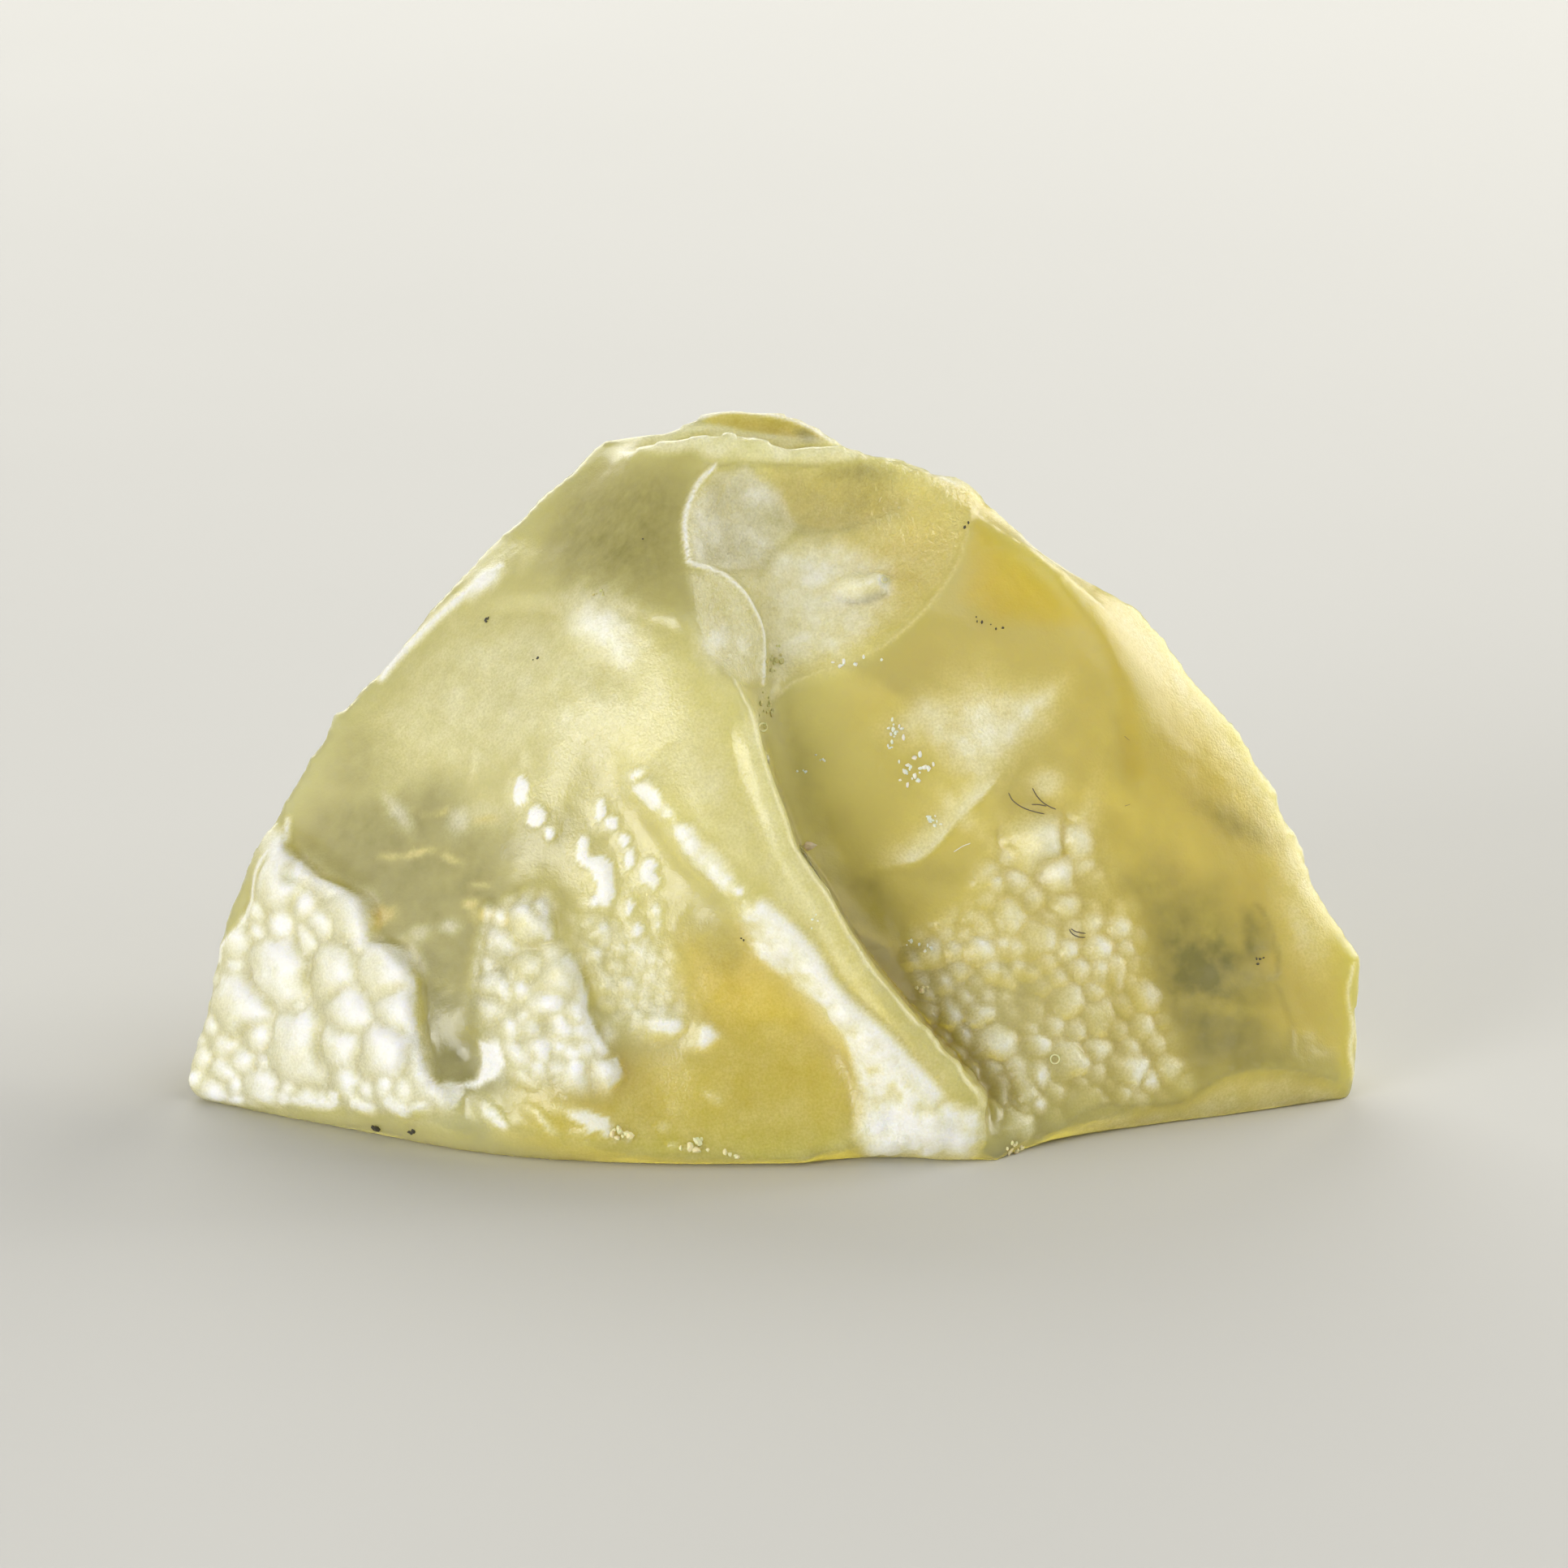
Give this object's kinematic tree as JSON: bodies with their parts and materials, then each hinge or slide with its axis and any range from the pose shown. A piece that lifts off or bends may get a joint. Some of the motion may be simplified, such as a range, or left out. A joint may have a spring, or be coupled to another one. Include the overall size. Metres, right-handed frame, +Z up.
{
  "type": "raw libyan desert glass",
  "caption": "Raw, translucent honey-yellow natural desert glass in the shape of a low mountain, with shell-shaped chips and cobbled hollows, resting on a flat base.",
  "frame": {"origin": "middle of the bottom of the bounding box, on the resting flat", "axes": "+X along the stone's length, to the right as the picture shows it; +Y away from the viewer; +Z up"},
  "size_m": [0.042, 0.0219, 0.0242],
  "materials": {
    "desert_glass": "milky, frosted by sand, with smooth amber patches"
  },
  "bodies": {
    "root": {"desert_glass": "desert_glass"}
  },
  "joints": []
}
